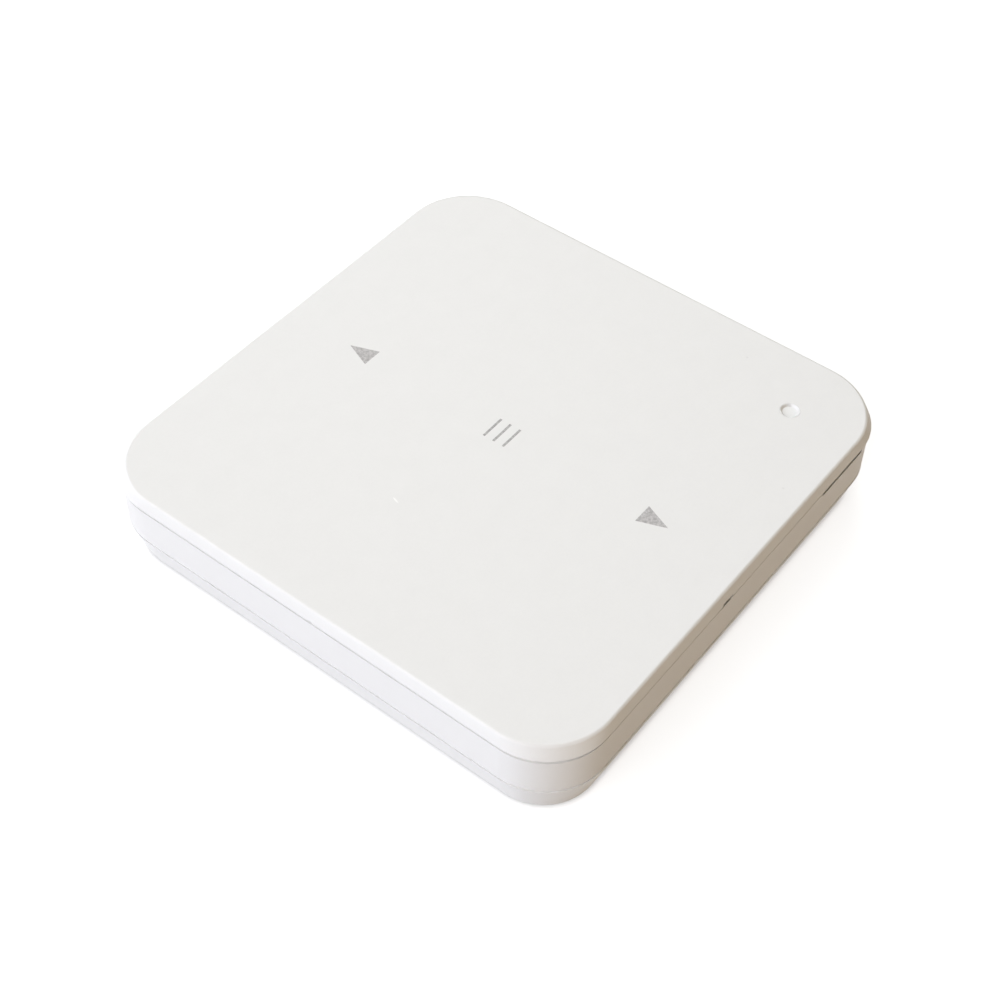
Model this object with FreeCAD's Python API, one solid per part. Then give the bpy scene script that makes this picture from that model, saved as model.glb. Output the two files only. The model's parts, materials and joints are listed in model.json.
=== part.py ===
import FreeCAD, Part
import math
import os

# A square remote control that sits in a tapered wall base.
# X runs to the remote's right, Y towards its up mark, and Z out of its face.
# The origin is the centre of the flat back of the wall base. Sizes are in millimetres.

Vector = FreeCAD.Vector
up = Vector(0, 0, 1)
to_right = Vector(1, 0, 0)

# Outline, seen from the front: one square with round corners, of which each layer is an inset
side = 86.0
corner_radius = 10.3
least_corner_radius = 0.8

# Heights of the three visible layers
base_height = 6.4
housing_height = 6.6
seam_gap = 0.8
skirt_height = 2.2

# Insets of the tapered sides
base_inset = 2.0
base_top_inset = 0.1
housing_inset = 0.2
housing_top_inset = 0.25
housing_chamfer = 0.1
skirt_draft = 0.5
skirt_chamfer = 0.1
foot_chamfer = 0.3

# Face plate
face_thickness = 1.4
face_edge_fillet = 0.5
face_corner_rounding = 1.2
skirt_wall = 1.2
rib_thickness = 1.0
rib_depth = 1.2
post_radius = 2.0
ear_width = 3.0
ear_depth = 5.0
pry_slot_x = -4.1
pry_slot_width = 2.4
pry_slot_height = 0.4

# Marks on the face, sunk flush into its top
mark_depth = 0.15
mark_from_edge = 15.4
triangle_width = 3.5
triangle_height = 4.5
bar_mark_length = 4.3
bar_mark_stroke = 0.4
bar_mark_pitch = 1.78
bar_mark_count = 3

# Indicator window, placed from the right and lower edges
window_from_right = 12.1
window_from_bottom = 11.9
window_radius = 1.6
window_recess_radius = 1.45
window_recess_floor_radius = 1.1
window_recess_depth = 0.35
window_flange = 0.7
window_flange_height = 0.4
window_end_gap = 0.6
glue_gap = 0.02

# Housing
housing_floor = 1.5
housing_floor_drop = 0.7
rim_clearance = 0.2
rim_wall = 1.0
rim_height = 0.95
nail_slot_from_right = 15.25
nail_slot_length = 11.4
nail_slot_drop = 0.6
pry_slot_drop = 0.1
pocket_lip = 0.05
pocket_depth = 1.2
pocket_taper = 0.4
pocket_back_gap = 0.1
spigot_depth = 1.0
spigot_wall = 1.2
spigot_clearance = 0.2

# Pivot bar and the posts that hold its ends
bar_radius = 1.0
running_clearance = 0.05
bar_travel = 0.25
under_bar_wall = 0.45
bearing_gap = 1.5
bearing_end_wall = 1.0
bearing_length = 2.1
bearing_depth = 5.2
bearing_lip_width = 1.7
bearing_lip_height = 1.05
bar_end_play = 0.1

# Return springs under the ends of the bar
spring_from_bearing = 3.0
spring_radius = 1.42
spring_wire_radius = 0.17
spring_turns = 5
spring_bar_gap = 0.05
spring_pin_radius = 0.85
spring_pin_height = 1.2
ear_from_spring = 5.0

# Circuit board
board_gap = 1.0
board_thickness = 1.2
board_notch_reach = 2.2
board_notch_width = 4.8
boss_height = 1.0
boss_radius = 2.6
screw_inset = 5.0
window_screw_shift = 6.0
side_screw_y = -8.0
screw_radius = 1.0
screw_fit = 0.02
screw_hole_gap = 0.1
screw_reach = 2.0
screw_head_radius = 1.9
screw_head_height = 1.1
screw_recess_depth = 0.5
screw_recess_width = 0.5
screw_recess_length = 2.2

# Push switches
switch_side = 4.5
switch_height = 1.2
switch_bottom = 0.2
plunger_radius = 1.0
plunger_rise = 0.4
plunger_depth = 0.6
cap_height = 0.5
pairing_from_left = 11.0
pairing_from_top = 21.0

# Battery
cell_radius = 12.25
cell_thickness = 3.0
cell_step = 0.3
cell_step_radius = 10.9
cell_clearance = 0.2
holder_wall = 1.1
holder_floor = 0.4
holder_height = 2.6
holder_edge_gap = 1.45
holder_bar_gap = 0.95
holder_window_radius = 5.0
contact_radius = 3.5
contact_hole_radius = 1.2
contact_thickness = 0.3
contact_width = 4.0
contact_gap = 0.25
contact_foot = 2.7
contact_finger = 7.0

# Parts soldered to the board
chip_side = 5.0
chip_height = 0.9
chip_from_left = 21.0
chip_from_bottom = 21.0
crystal_length = 3.2
crystal_width = 2.5
crystal_height = 0.8
crystal_gap = 2.0
small_part_length = 1.6
small_part_width = 0.8
small_part_height = 0.6
small_part_pitch = 2.4
small_part_gap = 2.6
capacitor_count = 6
resistor_count = 5
led_length = 1.6
led_width = 0.8
led_height = 0.6
antenna_length = 18.0
antenna_width = 1.5
antenna_height = 2.0
antenna_thickness = 0.3
antenna_leg = 1.0
antenna_leg_pitch = 5.0
antenna_edge_gap = 1.5
antenna_from_left = 13.0

# Wall base
base_floor = 1.8
base_wall = 1.8
wall_screw_spacing = 60.0
wall_screw_radius = 2.1
wall_screw_boss_radius = 4.5
wall_screw_boss_height = 1.2
magnet_from_screw = 8.0
magnet_radius = 4.0
magnet_thickness = 2.0
magnet_wall = 1.15
magnet_fit = 0.05
magnet_cover_gap = 0.2
steel_disc_radius = 5.0
steel_disc_thickness = 0.8
pad_end_gap = 15.0
pad_width = 16.0
pad_thickness = 0.8
pad_from_edge = 21.0
groove_height = 0.25
groove_depth = 0.8

# Levels, from the wall outwards
housing_bottom = base_height - housing_floor_drop
ledge = base_height + housing_height
rim_top = ledge + rim_height
skirt_bottom = ledge + seam_gap
face_top = skirt_bottom + skirt_height
face_underside = face_top - face_thickness
floor_top = housing_bottom + housing_floor
board_bottom = floor_top + boss_height
board_top = board_bottom + board_thickness
switch_top = board_top + switch_height
plunger_top = switch_top + plunger_rise
cap_top = plunger_top + cap_height
bore_radius = bar_radius + running_clearance
bar_height = cap_top + under_bar_wall + bore_radius
spring_low = floor_top + spring_wire_radius
spring_high = bar_height - bar_radius - spring_bar_gap - spring_wire_radius
cell_bottom = board_top + holder_floor
cell_top = cell_bottom + cell_thickness
magnet_top = housing_bottom - magnet_cover_gap
magnet_bottom = magnet_top - magnet_thickness

# Insets and places that follow from the fits
half = side / 2
rim_inset = skirt_wall + rim_clearance
cavity_inset = rim_inset + rim_wall
bearing_outer_x = half - cavity_inset - bearing_gap
bearing_slot_end = bearing_outer_x - bearing_end_wall
bearing_inner_x = bearing_slot_end - bearing_length
bar_half_length = bearing_slot_end - bar_end_play
spring_x = bearing_inner_x - spring_from_bearing
ear_x = spring_x - ear_from_spring
board_inset = half - bearing_inner_x + board_gap
board_half = half - board_inset
window_x = half - window_from_right
window_y = window_from_bottom - half
holder_radius = cell_radius + cell_clearance + holder_wall
cell_x = board_half - holder_edge_gap - holder_radius
cell_y = ear_depth / 2 + holder_bar_gap + holder_radius
screw_place = board_half - screw_inset
mark_offset = half - mark_from_edge
magnet_offset = screw_place - magnet_from_screw
chip_x = chip_from_left - board_half
chip_y = chip_from_bottom - board_half
nail_slot_x = half - nail_slot_from_right

switch_places = {
    "up": (0, mark_offset),
    "stop": (0, 0),
    "down": (0, -mark_offset),
    "pairing": (pairing_from_left - board_half, board_half - pairing_from_top),
}
screw_places = [
    (-screw_place, -screw_place),
    (-screw_place, screw_place),
    (screw_place, side_screw_y),
    (screw_place - window_screw_shift, -screw_place),
]
corner_rest = (screw_place, screw_place)
magnet_places = [(x, y) for x in (-magnet_offset, magnet_offset) for y in (-magnet_offset, magnet_offset)]


def outline(inset, z, rounding=0):
    """The remote's outline at height z, moved in by inset, with rounding added to its corner radius."""
    reach = half - inset
    radius = max(corner_radius - inset, least_corner_radius) + rounding
    straight = reach - radius
    edges = []
    for turn in range(4):
        angle = turn * math.pi / 2
        along = Vector(-math.sin(angle), math.cos(angle), 0)
        out = Vector(math.cos(angle), math.sin(angle), 0)
        start = out * reach - along * straight + up * z
        end = out * reach + along * straight + up * z
        centre = out * straight + along * straight + up * z
        middle = centre + (out + along) * (radius / math.sqrt(2))
        after = out * straight + along * reach + up * z
        edges.append(Part.LineSegment(start, end).toShape())
        edges.append(Part.Arc(end, middle, after).toShape())
    return Part.Wire(edges)


def slab(inset, low, high):
    """A plate of the remote's outline, moved in by inset."""
    return Part.Face(outline(inset, low)).extrude(up * (high - low))


def tapered(low_inset, low, high_inset, high, rounding=0):
    """A plate whose outline changes evenly from its lower to its upper inset, with rounder upper corners."""
    return Part.makeLoft([outline(low_inset, low), outline(high_inset, high, rounding)], True, True)


def disc(radius, low, high, x=0, y=0):
    return Part.makeCylinder(radius, high - low, Vector(x, y, low))


def block(x, y, length, width, low, high):
    """A box centred on x and y."""
    return Part.makeBox(length, width, high - low, Vector(x - length / 2, y - width / 2, low))


def cross_bar(radius, low_x, high_x, z):
    """A round bar along X in the middle of the remote."""
    return Part.makeCylinder(radius, high_x - low_x, Vector(low_x, 0, z), to_right)


def prism(points, low, high):
    """An upright solid over a closed outline of x and y points."""
    corners = [Vector(x, y, low) for x, y in points]
    return Part.Face(Part.makePolygon(corners + corners[:1])).extrude(up * (high - low))


def base_inset_at(z):
    """How far the side of the wall base lies inside the outline at height z."""
    return base_inset + (base_top_inset - base_inset) * z / base_height


def joined(shapes):
    return shapes[0].multiFuse(shapes[1:]).removeSplitter()


def group(shapes):
    """Several separate solids that share one node."""
    return Part.makeCompound(shapes)


def triangle_mark(direction):
    """The pointed mark on the face, pointing up for 1 and down for -1."""
    tip = direction * (mark_offset + triangle_height / 2)
    foot = direction * (mark_offset - triangle_height / 2)
    points = [(0, tip), (-triangle_width / 2, foot), (triangle_width / 2, foot)]
    return prism(points, face_top - mark_depth, face_top)


def stop_mark():
    middle = (bar_mark_count - 1) / 2
    places = [(number - middle) * bar_mark_pitch for number in range(bar_mark_count)]
    low = face_top - mark_depth
    return group([block(0, y, bar_mark_length, bar_mark_stroke, low, face_top) for y in places])


def face():
    plate = tapered(0, skirt_bottom + skirt_chamfer, skirt_draft, face_top, face_corner_rounding)
    top_edges = [edge for edge in plate.Edges if min(v.Z for v in edge.Vertexes) > face_top - mark_depth]
    plate = plate.makeFillet(face_edge_fillet, top_edges)
    lower_edge = tapered(skirt_chamfer, skirt_bottom, 0, skirt_bottom + skirt_chamfer)
    plate = plate.fuse(lower_edge).cut(slab(skirt_wall, skirt_bottom, face_underside))
    ears = [block(x, 0, ear_width, ear_depth, cap_top, face_underside) for x in (-ear_x, ear_x)]
    stop_post = block(0, 0, ear_depth, ear_depth, cap_top, face_underside)
    posts = [disc(post_radius, cap_top, face_underside, 0, y) for y in (-mark_offset, mark_offset)]
    rib_length = mark_offset - ear_depth / 2
    rib_y = (mark_offset + ear_depth / 2) / 2
    rib_low = face_underside - rib_depth
    ribs = [block(0, y, rib_thickness, rib_length, rib_low, face_underside) for y in (-rib_y, rib_y)]
    whole = joined([plate, stop_post] + ears + posts + ribs)
    whole = whole.cut(cross_bar(bore_radius, -half, half, bar_height))
    pry_depth = 2 * skirt_wall
    pry_top = skirt_bottom + pry_slot_height
    pry_slot = block(pry_slot_x, -half, pry_slot_width, pry_depth, skirt_bottom, pry_top)
    marks = [triangle_mark(1), stop_mark(), triangle_mark(-1)]
    window_hole = disc(window_radius + glue_gap, face_underside, face_top, window_x, window_y)
    return whole.cut([pry_slot, window_hole] + marks)


def light_pipe():
    """The window's clear rod, with a flat recess in its outer end and a flange under the face."""
    low = board_top + led_height + window_end_gap
    rod = disc(window_radius, low, face_top, window_x, window_y)
    flange_low = face_underside - window_flange_height
    flange = disc(window_radius + window_flange, flange_low, face_underside, window_x, window_y)
    place = Vector(window_x, window_y, face_top - window_recess_depth)
    recess = Part.makeCone(window_recess_floor_radius, window_recess_radius, window_recess_depth, place)
    return joined([rod, flange]).cut(recess)


def bar_bearing(direction):
    """The slotted post that guides one end of the bar, with lips over it, and what is cut out of it."""
    length = bearing_outer_x - bearing_inner_x
    x = direction * (bearing_outer_x + bearing_inner_x) / 2
    high = bar_height + bearing_lip_height
    post = block(x, 0, length, bearing_depth, floor_top, high)
    low_x, high_x = sorted((direction * bearing_inner_x, direction * bearing_slot_end))
    lowest = bar_height - bar_travel - running_clearance
    slot_x = (low_x + high_x) / 2
    ends = [cross_bar(bore_radius, low_x, high_x, z) for z in (lowest, bar_height)]
    slot = block(slot_x, 0, bearing_length, 2 * bore_radius, lowest, bar_height)
    mouth = block(slot_x, 0, bearing_length, bearing_lip_width, bar_height, high)
    return post, ends + [slot, mouth]


def ledge_pocket(x, length, drop):
    """A notch in the ledge of the lower side for a nail or a blade, wedge shaped behind its thin lip."""
    lip_top = ledge - drop
    floor = lip_top - pocket_depth
    lip_inset = housing_top_inset + pocket_lip
    back_inset = rim_inset - pocket_back_gap
    floor_inset = lip_inset + pocket_taper
    section = [(lip_inset, lip_top), (floor_inset, floor), (back_inset, floor), (back_inset, lip_top)]
    corners = [Vector(x - length / 2, inset - half, z) for inset, z in section]
    wedge = Part.Face(Part.makePolygon(corners + corners[:1])).extrude(to_right * length)
    return [wedge, block(x, -half, length, 2 * back_inset, lip_top, ledge)]


def housing():
    """The shell under the face. Its floor hangs a little into the tray, inside a ring that guides it."""
    lower_top = base_height + housing_chamfer
    lower_edge = tapered(housing_inset + housing_chamfer, base_height, housing_inset, lower_top)
    shell = tapered(housing_inset, lower_top, housing_top_inset, ledge)
    rim = slab(rim_inset, ledge, rim_top)
    spigot_low = housing_bottom - spigot_depth
    spigot_inset = base_inset_at(spigot_low) + base_wall + spigot_clearance
    spigot = slab(spigot_inset, spigot_low, base_height)
    shell = joined([shell, lower_edge, rim, spigot])
    shell = shell.cut(slab(cavity_inset, floor_top, rim_top))
    shell = shell.cut(slab(spigot_inset + spigot_wall, spigot_low, housing_bottom))
    bosses = [disc(boss_radius, floor_top, board_bottom, x, y) for x, y in screw_places + [corner_rest]]
    pin_top = floor_top + spring_pin_height
    pins = [disc(spring_pin_radius, floor_top, pin_top, x) for x in (-spring_x, spring_x)]
    bearings = [bar_bearing(direction) for direction in (-1, 1)]
    whole = joined([shell] + bosses + pins + [post for post, cuts in bearings])
    pilot_low = board_bottom - screw_reach
    pilots = [disc(screw_radius + screw_fit, pilot_low, board_bottom, x, y) for x, y in screw_places]
    slots = [cut for post, cuts in bearings for cut in cuts]
    nail_pocket = ledge_pocket(nail_slot_x, nail_slot_length, nail_slot_drop)
    pry_pocket = ledge_pocket(pry_slot_x, pry_slot_width, pry_slot_drop)
    return whole.cut(pilots + slots + steel_disc_solids() + nail_pocket + pry_pocket)


def steel_disc_solids():
    high = housing_bottom + steel_disc_thickness
    return [disc(steel_disc_radius, housing_bottom, high, x, y) for x, y in magnet_places]


def arc_between(start, corner, end):
    """The arc that touches the lines from corner to start and to end, which are equally long."""
    reach = (start - corner).Length
    half_chord = (end - start).Length / 2
    inward = (start + end) / 2 - corner
    radius = reach * half_chord / inward.Length
    middle_reach = math.hypot(reach, radius) - radius
    middle = corner + inward * (middle_reach / inward.Length)
    return Part.Arc(start, middle, end).toShape()


def biarc(start, start_way, end, end_way):
    """Two arcs from start to end that leave and arrive in the given directions."""
    across = end - start
    ways = start_way + end_way
    share = across.dot(ways)
    slack = 4 - ways.dot(ways)
    reach = (math.sqrt(share**2 + slack * across.dot(across)) - share) / slack
    first_corner = start + start_way * reach
    last_corner = end - end_way * reach
    meeting = (first_corner + last_corner) / 2
    return [arc_between(start, first_corner, meeting), arc_between(meeting, last_corner, end)]


def coil_arcs(radius, turns, low, high, x):
    """The line of a coil about an upright axis at x, as arcs."""
    quarters = 4 * turns
    rise = (high - low) / quarters
    slope = rise / (radius * math.pi / 2)
    points = []
    ways = []
    for quarter in range(quarters + 1):
        angle = quarter * math.pi / 2
        points.append(Vector(x + radius * math.cos(angle), radius * math.sin(angle), low + quarter * rise))
        ways.append(Vector(-math.sin(angle), math.cos(angle), slope).normalize())
    arcs = []
    for quarter in range(quarters):
        arcs += biarc(points[quarter], ways[quarter], points[quarter + 1], ways[quarter + 1])
    return arcs


def return_spring(x):
    """A compression spring between the housing's floor and the bar."""
    arcs = coil_arcs(spring_radius, spring_turns, spring_low, spring_high, x)
    start = Vector(x + spring_radius, 0, spring_low)
    section = Part.Wire(Part.makeCircle(spring_wire_radius, start, arcs[0].tangentAt(arcs[0].FirstParameter)))
    return Part.Wire(arcs).makePipeShell([section], True)


def circuit_board():
    board = slab(board_inset, board_bottom, board_top)
    notch_start = spring_x - board_notch_reach
    notch_length = board_half - notch_start
    notch_x = notch_start + notch_length / 2
    notches = [
        block(x, 0, notch_length, board_notch_width, board_bottom, board_top) for x in (-notch_x, notch_x)
    ]
    hole = screw_radius + screw_hole_gap
    holes = [disc(hole, board_bottom, board_top, x, y) for x, y in screw_places]
    return board.cut(notches + holes)


def board_screw(x, y):
    """A pan head screw with a cross recess."""
    head_top = board_top + screw_head_height
    head = disc(screw_head_radius, board_top, head_top, x, y)
    shank = disc(screw_radius, board_bottom - screw_reach, board_top, x, y)
    low = head_top - screw_recess_depth
    recess = [
        block(x, y, screw_recess_length, screw_recess_width, low, head_top),
        block(x, y, screw_recess_width, screw_recess_length, low, head_top),
    ]
    return joined([head, shank]).cut(recess)


def switch(x, y):
    """The body of a push switch, with the well that its plunger slides in."""
    body = block(x, y, switch_side, switch_side, board_top, switch_top)
    return body.cut(disc(plunger_radius + running_clearance, board_top + switch_bottom, switch_top, x, y))


def plunger(x, y):
    return disc(plunger_radius, switch_top - plunger_depth, plunger_top, x, y)


def cap(x, y):
    """The soft pad between a plunger and the face."""
    return disc(plunger_radius, plunger_top, cap_top, x, y)


def battery_holder():
    low = board_top
    ring = disc(holder_radius, low, low + holder_height, cell_x, cell_y)
    room = disc(cell_radius + cell_clearance, cell_bottom, low + holder_height, cell_x, cell_y)
    window = disc(holder_window_radius, low, cell_bottom, cell_x, cell_y)
    return ring.cut([room, window])


def coin_cell():
    """The cell, positive side up, with the step round its lower, negative side."""
    step_top = cell_bottom + cell_step
    can = disc(cell_radius, step_top, cell_top, cell_x, cell_y)
    step = disc(cell_step_radius, cell_bottom, step_top, cell_x, cell_y)
    return joined([can, step])


def negative_contact():
    ring = disc(contact_radius, board_top, cell_bottom, cell_x, cell_y)
    return ring.cut(disc(contact_hole_radius, board_top, cell_bottom, cell_x, cell_y))


def positive_contact():
    """A bent strip: a foot on the board, a riser beside the holder and a finger on the cell."""
    riser_x = cell_x - holder_radius - contact_gap - contact_thickness / 2
    low_x = riser_x - contact_thickness / 2
    high = cell_top + contact_thickness
    foot_x = low_x + contact_thickness - contact_foot / 2
    finger_x = low_x + contact_finger / 2
    foot = block(foot_x, cell_y, contact_foot, contact_width, board_top, board_top + contact_thickness)
    riser = block(riser_x, cell_y, contact_thickness, contact_width, board_top, high)
    finger = block(finger_x, cell_y, contact_finger, contact_width, cell_top, high)
    return joined([foot, riser, finger])


def small_parts(count, x, y):
    """A row of small soldered parts, centred on x and y."""
    first = x - (count - 1) * small_part_pitch / 2
    high = board_top + small_part_height
    places = [first + number * small_part_pitch for number in range(count)]
    return group([block(at, y, small_part_width, small_part_length, board_top, high) for at in places])


def antenna():
    """A raised strip on two legs, along the board's lower edge."""
    y = antenna_edge_gap + antenna_width / 2 - board_half
    low = board_top + antenna_height
    start = antenna_from_left - board_half
    strip_x = start + antenna_length / 2
    strip = block(strip_x, y, antenna_length, antenna_width, low, low + antenna_thickness)
    leg_places = [start + antenna_leg / 2 + number * antenna_leg_pitch for number in range(2)]
    legs = [block(x, y, antenna_leg, antenna_width, board_top, low) for x in leg_places]
    return joined([strip] + legs)


def pad_solids():
    length = side - 2 * pad_end_gap
    pad_y = half - pad_from_edge
    return [block(0, y, length, pad_width, 0, pad_thickness) for y in (-pad_y, pad_y)]


def wall_base():
    """The tapered tray on the wall, with cups for its magnets and holes for two wall screws."""
    foot = tapered(base_inset + foot_chamfer, 0, base_inset_at(foot_chamfer), foot_chamfer)
    body = tapered(base_inset_at(foot_chamfer), foot_chamfer, base_top_inset, base_height)
    groove_low = base_height - groove_height
    groove_inset = base_top_inset + groove_depth
    groove = slab(0, groove_low, base_height).cut(slab(groove_inset, groove_low, base_height))
    tray = joined([foot, body]).cut(groove)
    low_inset = base_inset_at(base_floor) + base_wall
    tray = tray.cut(tapered(low_inset, base_floor, base_top_inset + base_wall, base_height))
    cups = [disc(magnet_radius + magnet_wall, base_floor, magnet_top, x, y) for x, y in magnet_places]
    screw_x = wall_screw_spacing / 2
    boss_top = base_floor + wall_screw_boss_height
    bosses = [disc(wall_screw_boss_radius, base_floor, boss_top, x) for x in (-screw_x, screw_x)]
    tray = joined([tray] + cups + bosses)
    pockets = [disc(magnet_radius + magnet_fit, magnet_bottom, magnet_top, x, y) for x, y in magnet_places]
    holes = [disc(wall_screw_radius, 0, boss_top, x) for x in (-screw_x, screw_x)]
    return tray.cut(pockets + holes + pad_solids())


pieces = {
    "face": face(),
    "up_mark": triangle_mark(1),
    "stop_mark": stop_mark(),
    "down_mark": triangle_mark(-1),
    "light_pipe": light_pipe(),
    "housing": housing(),
    "wall_base": wall_base(),
    "pivot_bar": cross_bar(bar_radius, -bar_half_length, bar_half_length, bar_height),
    "return_springs": group([return_spring(x) for x in (-spring_x, spring_x)]),
    "circuit_board": circuit_board(),
    "board_screws": group([board_screw(x, y) for x, y in screw_places]),
    "radio_chip": block(chip_x, chip_y, chip_side, chip_side, board_top, board_top + chip_height),
    "crystal": block(
        chip_x,
        chip_y + chip_side / 2 + crystal_gap,
        crystal_length,
        crystal_width,
        board_top,
        board_top + crystal_height,
    ),
    "capacitors": small_parts(capacitor_count, chip_x, chip_y - chip_side / 2 - small_part_gap),
    "resistors": small_parts(resistor_count, chip_x, chip_y - chip_side / 2 - 2 * small_part_gap),
    "status_led": block(window_x, window_y, led_length, led_width, board_top, board_top + led_height),
    "antenna": antenna(),
    "battery_holder": battery_holder(),
    "coin_cell": coin_cell(),
    "positive_contact": positive_contact(),
    "negative_contact": negative_contact(),
    "steel_discs": group(steel_disc_solids()),
    "magnets": group([disc(magnet_radius, magnet_bottom, magnet_top, x, y) for x, y in magnet_places]),
    "adhesive_pads": group(pad_solids()),
}
for name, (x, y) in switch_places.items():
    pieces[f"{name}_switch"] = switch(x, y)
    pieces[f"{name}_plunger"] = plunger(x, y)
    if name != "pairing":
        pieces[f"{name}_cap"] = cap(x, y)

os.makedirs("parts", exist_ok=True)
spring_gap = (spring_high - spring_low) / spring_turns - 2 * spring_wire_radius
print("least gap between a return spring's turns", round(spring_gap, 3), "mm")
for name, shape in pieces.items():
    print(name, len(shape.Solids), "solids", round(shape.Volume, 2), "mm3, valid", shape.isValid())
    shape.exportStep(f"parts/{name}.step")
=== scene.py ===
import json
import math

import bpy
from mathutils import Matrix, Vector


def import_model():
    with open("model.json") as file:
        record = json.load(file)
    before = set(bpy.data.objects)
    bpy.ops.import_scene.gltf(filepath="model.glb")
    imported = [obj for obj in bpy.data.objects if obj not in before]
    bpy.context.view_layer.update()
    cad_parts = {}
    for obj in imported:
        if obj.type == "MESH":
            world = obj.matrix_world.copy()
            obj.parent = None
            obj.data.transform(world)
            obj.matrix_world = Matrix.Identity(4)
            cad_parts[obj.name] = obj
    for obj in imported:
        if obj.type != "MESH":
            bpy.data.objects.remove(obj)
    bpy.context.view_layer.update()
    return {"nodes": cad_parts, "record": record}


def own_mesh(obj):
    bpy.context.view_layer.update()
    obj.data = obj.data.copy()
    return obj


# The looks of a square white remote control in its wall base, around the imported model.

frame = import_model()

MM = 0.001

# Camera, at the photograph's viewing angle
CAMERA_PLACE_MM = (-143.91, -107.28, 206.17)
CAMERA_RIGHT = (0.61314, -0.7898, 0.01681)
CAMERA_UP = (0.5881, 0.47055, 0.65782)
CAMERA_LENS = 63.229
CAMERA_SENSOR = 36.0
CAMERA_NEAR = 0.01
CAMERA_FAR = 10

# Colours are linear
FACE_WHITE = (0.84, 0.84, 0.828, 1)
HOUSING_WHITE = (0.84, 0.838, 0.83, 1)
# The base is the housing's white plastic, painted lighter to make up for the shade on its downward-tapered
# sides
BASE_WHITE_PAINTED_LIGHTER = (0.9, 0.898, 0.89, 1)
PRINT_GREY = (0.485, 0.472, 0.47, 1)
BAR_GREY = (0.42, 0.413, 0.41, 1)
WINDOW_WHITE = (0.8, 0.8, 0.79, 1)
STEEL_GREY = (0.6, 0.6, 0.61, 1)
NICKEL_GREY = (0.72, 0.71, 0.69, 1)
GILT_YELLOW = (0.8, 0.62, 0.3, 1)
BOARD_GREEN = (0.03, 0.16, 0.07, 1)
MOULDED_BLACK = (0.02, 0.02, 0.022, 1)
CERAMIC_TAN = (0.45, 0.32, 0.2, 1)
PLUNGER_IVORY = (0.7, 0.67, 0.6, 1)
SILICONE_GREY = (0.3, 0.3, 0.31, 1)
FOAM_WHITE = (0.75, 0.75, 0.73, 1)
PURE_WHITE = (1, 1, 1, 1)

# Small flaws on the face in millimetres: place, half length, half width, turn from X, brightness
FACE_FLAWS = (
    ((-20.08, 3.78), 0.75, 0.17, 73.4, 1.15),
    ((36.52, -19.88), 0.22, 0.22, 0.0, 0.93),
    ((16.79, -38.65), 0.22, 0.22, 0.0, 0.93),
)
FLAW_CORE = 0.6
FLAW_DEPTH_MM = 1000

# The floor, and its glow, which fades where the remote stands close over it: a painted contact shadow
FLOOR_HALF = 6.0
FLOOR_GREY = (0.4, 0.4, 0.4, 1)
FLOOR_GLOW = 0.8
PAINTED_SHADOW_GLOW = 0.25
PAINTED_SHADOW_REACH_MM = 1.3
PAINTED_SHADOW_CLOSED = 0.2
PAINTED_SHADOW_OPEN = 0.7

# The sky, which lights the remote faintly
SKY_COLOUR = (1.0, 0.97, 0.92, 1)
SKY_STRENGTH = 0.1

LAMP_SIZE = 1.4


def place_camera():
    data = bpy.data.cameras.new("camera")
    data.sensor_fit = "HORIZONTAL"
    data.sensor_width = CAMERA_SENSOR
    data.lens = CAMERA_LENS
    data.clip_start = CAMERA_NEAR
    data.clip_end = CAMERA_FAR
    camera = bpy.data.objects.new("camera", data)
    bpy.context.scene.collection.objects.link(camera)
    right = Vector(CAMERA_RIGHT).normalized()
    back = right.cross(Vector(CAMERA_UP)).normalized()
    up = back.cross(right)
    turn = Matrix((right, up, back)).transposed().to_4x4()
    camera.matrix_world = Matrix.Translation(Vector(CAMERA_PLACE_MM) * MM) @ turn
    bpy.context.scene.camera = camera


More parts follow.
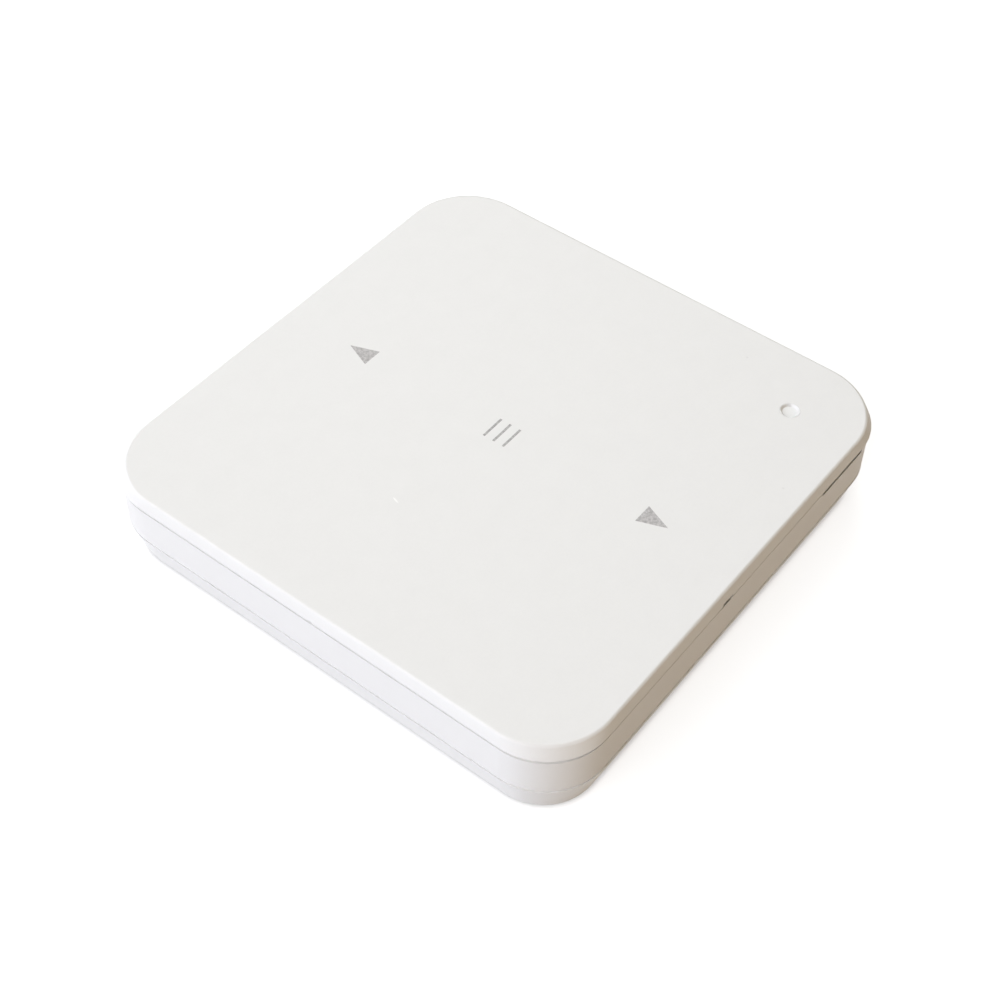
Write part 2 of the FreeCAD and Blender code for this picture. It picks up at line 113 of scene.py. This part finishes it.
class Nodes:
    """A material's node tree, with short calls for the nodes used here."""

    def __init__(self, name):
        self.material = bpy.data.materials.new(name)
        self.material.use_nodes = True
        self.tree = self.material.node_tree
        self.tree.nodes.clear()
        self.out = self.add("ShaderNodeOutputMaterial")

    def add(self, kind, settings=None, **inputs):
        node = self.tree.nodes.new(kind)
        for key, value in (settings or {}).items():
            setattr(node, key, value)
        for key, value in inputs.items():
            self.plug(value, node.inputs[key.replace("_", " ")])
        return node

    def plug(self, value, socket):
        if isinstance(value, bpy.types.NodeSocket):
            self.tree.links.new(value, socket)
        else:
            socket.default_value = value

    def maths(self, operation, first, second, kind="ShaderNodeMath"):
        node = self.add(kind, {"operation": operation})
        self.plug(first, node.inputs[0])
        self.plug(second, node.inputs[1])
        return node.outputs[0]

    def scaled(self, vector, factor):
        """A vector or colour times a number."""
        node = self.add("ShaderNodeVectorMath", {"operation": "SCALE"}, Scale=factor)
        self.plug(vector, node.inputs[0])
        return node.outputs[0]

    def place(self):
        """The point in the object's own coordinates, in millimetres."""
        return self.scaled(self.add("ShaderNodeTexCoord").outputs["Object"], 1 / MM)

    def noise(self, place, scale, detail=3.0, roughness=0.6):
        node = self.add(
            "ShaderNodeTexNoise", None, Vector=place, Scale=scale, Detail=detail, Roughness=roughness
        )
        return node.outputs[0]

    def spread(self, value, low, high, from_low=0.0, from_high=1.0):
        """value, moved from one range to another."""
        node = self.add(
            "ShaderNodeMapRange",
            None,
            Value=value,
            From_Min=from_low,
            From_Max=from_high,
            To_Min=low,
            To_Max=high,
        )
        return node.outputs[0]

    def flaw(self, place, spot, half_length, half_width, turn, brightness):
        """A factor of brightness in a small ellipse round spot, and of 1 elsewhere."""
        moved = self.add(
            "ShaderNodeMapping",
            {"vector_type": "TEXTURE"},
            Vector=place,
            Location=(*spot, 0),
            Rotation=(0, 0, math.radians(turn)),
            Scale=(half_length, half_width, FLAW_DEPTH_MM),
        )
        reach = self.add("ShaderNodeVectorMath", {"operation": "LENGTH"})
        self.plug(moved.outputs[0], reach.inputs[0])
        return self.spread(reach.outputs["Value"], brightness, 1, FLAW_CORE, 1)

    def finish(self, shader):
        self.tree.links.new(shader, self.out.inputs["Surface"])
        return self.material


def matte_plastic(name, colour, roughness, mottling, grain_mm, grain_height_mm, gloss=0.35, flaws=()):
    """Moulded plastic: faint mottling, an uneven sheen and a fine etched grain."""
    nodes = Nodes(name)
    place = nodes.place()
    broad = nodes.noise(place, 0.25)
    fine = nodes.noise(place, 2.2, 4)
    grain = nodes.noise(place, 1 / grain_mm, 2)
    factor = nodes.maths(
        "ADD",
        nodes.spread(broad, -mottling, mottling),
        nodes.spread(fine, 1 - mottling, 1 + mottling),
    )
    for flaw in flaws:
        factor = nodes.maths("MULTIPLY", factor, nodes.flaw(place, *flaw))
    bump = nodes.add("ShaderNodeBump", None, Strength=0.6, Distance=grain_height_mm * MM, Height=grain)
    shader = nodes.add(
        "ShaderNodeBsdfPrincipled",
        None,
        Base_Color=nodes.scaled(colour[:3], factor),
        Roughness=nodes.spread(fine, roughness - 0.06, roughness + 0.06),
        Specular_IOR_Level=gloss,
        Normal=bump.outputs[0],
    )
    return nodes.finish(shader.outputs[0])


def printed(name, colour):
    """Grey print on the etched face, broken into grains by the texture below it."""
    nodes = Nodes(name)
    grains = nodes.noise(nodes.place(), 2.2, 3, 0.75)
    factor = nodes.spread(grains, 0.8, 1.25, 0.38, 0.62)
    shader = nodes.add(
        "ShaderNodeBsdfPrincipled",
        None,
        Base_Color=nodes.scaled(colour[:3], factor),
        Roughness=nodes.spread(grains, 0.5, 0.7),
    )
    return nodes.finish(shader.outputs[0])


def milky(name, colour):
    """Cloudy translucent plastic with a polished surface."""
    nodes = Nodes(name)
    cloud = nodes.noise(nodes.place(), 0.8)
    shader = nodes.add(
        "ShaderNodeBsdfPrincipled",
        None,
        Base_Color=nodes.scaled(colour[:3], nodes.spread(cloud, 0.97, 1.02)),
        Roughness=nodes.spread(cloud, 0.16, 0.24),
        Subsurface_Weight=0.3,
        Subsurface_Radius=(1.0, 1.0, 1.0),
        Subsurface_Scale=1.0 * MM,
    )
    return nodes.finish(shader.outputs[0])


def metal(name, colour, roughness, streaks):
    """Bare or plated metal with drawn streaks along X."""
    nodes = Nodes(name)
    stretched = nodes.maths("MULTIPLY", nodes.place(), (0.15, 1.0, 1.0), "ShaderNodeVectorMath")
    lines = nodes.noise(stretched, 6.0, 3)
    shader = nodes.add(
        "ShaderNodeBsdfPrincipled",
        None,
        Base_Color=nodes.scaled(colour[:3], nodes.spread(lines, 1 - streaks, 1 + streaks)),
        Roughness=nodes.spread(lines, roughness - 0.08, roughness + 0.08),
        Metallic=1.0,
    )
    return nodes.finish(shader.outputs[0])


def shell_plastic(name, colour):
    """The satin plastic of the housing and the base."""
    return matte_plastic(
        name, colour, roughness=0.42, mottling=0.008, grain_mm=0.3, grain_height_mm=0.008, gloss=0.15
    )


def paint(node, material):
    mesh = frame["nodes"][node].data
    mesh.materials.clear()
    mesh.materials.append(material)


def dress():
    """Each node gets the material of its slot, and the bars their darker print."""
    by_slot = {
        "face_plastic": matte_plastic(
            "face_white",
            FACE_WHITE,
            roughness=0.5,
            mottling=0.016,
            grain_mm=0.22,
            grain_height_mm=0.012,
            flaws=FACE_FLAWS,
        ),
        "housing_plastic": shell_plastic("housing_white", HOUSING_WHITE),
        # The base gets a lighter copy of the housing's white: painted light over its shaded sides
        "base_plastic": shell_plastic("base_white_painted_lighter", BASE_WHITE_PAINTED_LIGHTER),
        "mark_print": printed("print_grey", PRINT_GREY),
        "window_plastic": milky("window_milk", WINDOW_WHITE),
        "steel": metal("steel", STEEL_GREY, roughness=0.3, streaks=0.08),
        "magnet_plating": metal("nickel", NICKEL_GREY, roughness=0.2, streaks=0.04),
        "contact_metal": metal("gilt", GILT_YELLOW, roughness=0.25, streaks=0.06),
        "board": matte_plastic(
            "solder_mask", BOARD_GREEN, roughness=0.35, mottling=0.05, grain_mm=0.6, grain_height_mm=0.01
        ),
        "chip_black": matte_plastic(
            "moulded_black", MOULDED_BLACK, roughness=0.5, mottling=0.1, grain_mm=0.15, grain_height_mm=0.01
        ),
        "ceramic_parts": matte_plastic(
            "ceramic_tan", CERAMIC_TAN, roughness=0.4, mottling=0.06, grain_mm=0.2, grain_height_mm=0.005
        ),
        "plunger_plastic": matte_plastic(
            "ivory", PLUNGER_IVORY, roughness=0.45, mottling=0.02, grain_mm=0.2, grain_height_mm=0.005
        ),
        "silicone": matte_plastic(
            "silicone_grey", SILICONE_GREY, roughness=0.6, mottling=0.02, grain_mm=0.2, grain_height_mm=0.01
        ),
        "adhesive_foam": matte_plastic(
            "adhesive_foam", FOAM_WHITE, roughness=0.85, mottling=0.05, grain_mm=0.25, grain_height_mm=0.05
        ),
    }
    for row in frame["record"]["subparts"]:
        paint(row["node"], by_slot[row["material_slot"]])
    paint("stop_mark", printed("print_bar_grey", BAR_GREY))


def shorten_springs():
    """Gives the springs under the bar a mesh of their own."""
    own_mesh(frame["nodes"]["return_springs"])


def floor():
    """A pale floor that reads as white to the camera and keeps the remote's shadow, with a painted contact
    shadow where its glow fades next to the remote.
    """
    mesh = bpy.data.meshes.new("floor")
    corners = [(x * FLOOR_HALF, y * FLOOR_HALF, 0) for x, y in ((-1, -1), (1, -1), (1, 1), (-1, 1))]
    mesh.from_pydata(corners, [], [(0, 1, 2, 3)])
    plane = bpy.data.objects.new("floor", mesh)
    bpy.context.scene.collection.objects.link(plane)
    nodes = Nodes("floor_white")
    rays = nodes.add("ShaderNodeLightPath").outputs
    seen = nodes.maths("MAXIMUM", rays["Is Camera Ray"], rays["Is Glossy Ray"])
    seen = nodes.maths("MAXIMUM", seen, rays["Is Transmission Ray"])
    # Painted contact shadow: ambient occlusion dims the floor's glow right next to the remote
    near = nodes.add("ShaderNodeAmbientOcclusion", {"samples": 4}, Distance=PAINTED_SHADOW_REACH_MM * MM)
    glow_less_painted_shadow = nodes.spread(near.outputs["AO"], PAINTED_SHADOW_GLOW, FLOOR_GLOW, PAINTED_SHADOW_CLOSED, PAINTED_SHADOW_OPEN)
    strength = nodes.maths("MULTIPLY", seen, glow_less_painted_shadow)
    diffuse = nodes.add("ShaderNodeBsdfDiffuse", None, Color=FLOOR_GREY)
    glow = nodes.add("ShaderNodeEmission", None, Color=PURE_WHITE, Strength=strength)
    both = nodes.add("ShaderNodeAddShader")
    nodes.plug(diffuse.outputs[0], both.inputs[0])
    nodes.plug(glow.outputs[0], both.inputs[1])
    mesh.materials.append(nodes.finish(both.outputs[0]))


def world():
    """A dim even sky that the camera sees as white."""
    studio = bpy.data.worlds.new("studio")
    bpy.context.scene.world = studio
    studio.use_nodes = True
    tree = studio.node_tree
    tree.nodes.clear()
    out = tree.nodes.new("ShaderNodeOutputWorld")
    rays = tree.nodes.new("ShaderNodeLightPath")
    mix = tree.nodes.new("ShaderNodeMixShader")
    tree.links.new(rays.outputs["Is Camera Ray"], mix.inputs[0])
    for socket, colour, strength in ((1, SKY_COLOUR, SKY_STRENGTH), (2, PURE_WHITE, 1.0)):
        background = tree.nodes.new("ShaderNodeBackground")
        background.inputs["Color"].default_value = colour
        background.inputs["Strength"].default_value = strength
        tree.links.new(background.outputs[0], mix.inputs[socket])
    tree.links.new(mix.outputs[0], out.inputs["Surface"])


def lamp(name, place, power, colour):
    """A square soft lamp that points at the remote."""
    data = bpy.data.lights.new(name, "AREA")
    data.shape = "SQUARE"
    data.size = LAMP_SIZE
    data.energy = power
    data.color = colour
    light = bpy.data.objects.new(name, data)
    bpy.context.scene.collection.objects.link(light)
    light.location = place
    light.rotation_euler = (-Vector(place)).to_track_quat("-Z", "Y").to_euler()


place_camera()
floor()
world()
lamp("left_low", (-2.2, 0.1, 1.0), power=23.9, colour=(0.885, 0.9, 1.0))
lamp("left_high", (-1.7, 0.15, 1.7), power=25.0, colour=(0.96, 0.98, 1.0))
lamp("right", (1.2, 1.2, 1.7), power=30.6, colour=(0.98, 1.0, 0.98))
lamp("back", (-1.4, 1.8, 0.7), power=20.5, colour=(0.97, 0.94, 1.0))
lamp("warm_front", (0.1, -2.3, 0.65), power=10.2, colour=(1.0, 0.55, 0.05))
dress()
shorten_springs()

bpy.context.scene.view_settings.view_transform = "Standard"
